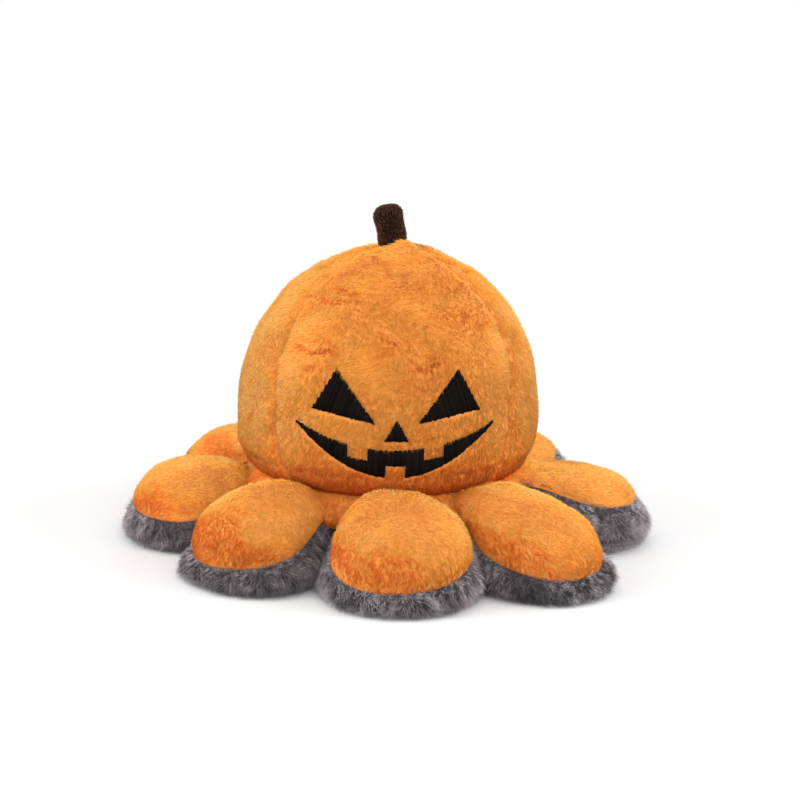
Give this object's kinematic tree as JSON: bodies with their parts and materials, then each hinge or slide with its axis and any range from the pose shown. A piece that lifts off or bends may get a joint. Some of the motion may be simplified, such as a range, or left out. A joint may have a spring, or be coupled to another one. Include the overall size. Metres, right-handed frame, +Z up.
{
  "type": "reversible plush pumpkin",
  "caption": "Stuffed plush pumpkin head on a ring of puffed legs that fold up, with a tipping stem and a pocket under the head through which the toy turns inside out.",
  "frame": {"origin": "middle of the base, on the surface that the toy stands on", "axes": "+Z up through the stem, the face looks along -Y, +X is the viewer's right"},
  "size_m": [0.217, 0.217, 0.1414],
  "materials": {
    "orange_plush": "short dense orange plush, brushed in clumps",
    "grey_fur": "long soft mauve-grey fur, darker at the roots",
    "brown_pile": "very short dark brown pile",
    "black_thread": "black satin stitch, slightly shiny along the threads",
    "white_fibre": "white polyester fibre filling"
  },
  "bodies": {
    "head": {"head_front_gore": "orange_plush", "head_right_gore": "orange_plush", "head_back_gore": "orange_plush", "head_left_gore": "orange_plush", "head_filling": "white_fibre", "pocket_lining": "grey_fur", "skirt_top": "orange_plush", "skirt_underside": "grey_fur", "skirt_filling": "white_fibre", "left_eye": "black_thread", "right_eye": "black_thread", "nose": "black_thread", "mouth": "black_thread"},
    "stem": {"stem_cover": "brown_pile", "stem_filling": "white_fibre"},
    "leg_1": {"leg_1_top": "orange_plush", "leg_1_fur": "grey_fur", "leg_1_filling": "white_fibre"},
    "leg_2": {"leg_2_top": "orange_plush", "leg_2_fur": "grey_fur", "leg_2_filling": "white_fibre"},
    "leg_3": {"leg_3_top": "orange_plush", "leg_3_fur": "grey_fur", "leg_3_filling": "white_fibre"},
    "leg_4": {"leg_4_top": "orange_plush", "leg_4_fur": "grey_fur", "leg_4_filling": "white_fibre"},
    "leg_5": {"leg_5_top": "orange_plush", "leg_5_fur": "grey_fur", "leg_5_filling": "white_fibre"},
    "leg_6": {"leg_6_top": "orange_plush", "leg_6_fur": "grey_fur", "leg_6_filling": "white_fibre"},
    "leg_7": {"leg_7_top": "orange_plush", "leg_7_fur": "grey_fur", "leg_7_filling": "white_fibre"},
    "leg_8": {"leg_8_top": "orange_plush", "leg_8_fur": "grey_fur", "leg_8_filling": "white_fibre"}
  },
  "joints": [
    {"name": "stem_tilt", "type": "hinge", "parent": "head", "child": "stem", "pos_m": [0, 0, 0.124], "axis": [0, 1, 0], "range_deg": [-15, 29], "stiffness_Nm_per_rad": 0.004},
    {"name": "leg_1_fold", "type": "hinge", "parent": "head", "child": "leg_1", "pos_m": [0, -0.05815, 0.0305], "axis": [-1, 0, 0], "range_deg": [0, 55]},
    {"name": "leg_2_fold", "type": "hinge", "parent": "head", "child": "leg_2", "pos_m": [0.04112, -0.04112, 0.0305], "axis": [-0.7071, -0.7071, 0], "range_deg": [0, 55]},
    {"name": "leg_3_fold", "type": "hinge", "parent": "head", "child": "leg_3", "pos_m": [0.05815, 0, 0.0305], "axis": [0, -1, 0], "range_deg": [0, 55]},
    {"name": "leg_4_fold", "type": "hinge", "parent": "head", "child": "leg_4", "pos_m": [0.04112, 0.04112, 0.0305], "axis": [0.7071, -0.7071, 0], "range_deg": [0, 55]},
    {"name": "leg_5_fold", "type": "hinge", "parent": "head", "child": "leg_5", "pos_m": [0, 0.05815, 0.0305], "axis": [1, 0, 0], "range_deg": [0, 55]},
    {"name": "leg_6_fold", "type": "hinge", "parent": "head", "child": "leg_6", "pos_m": [-0.04112, 0.04112, 0.0305], "axis": [0.7071, 0.7071, 0], "range_deg": [0, 55]},
    {"name": "leg_7_fold", "type": "hinge", "parent": "head", "child": "leg_7", "pos_m": [-0.05815, 0, 0.0305], "axis": [0, 1, 0], "range_deg": [0, 55]},
    {"name": "leg_8_fold", "type": "hinge", "parent": "head", "child": "leg_8", "pos_m": [-0.04112, -0.04112, 0.0305], "axis": [-0.7071, 0.7071, 0], "range_deg": [0, 55]}
  ]
}
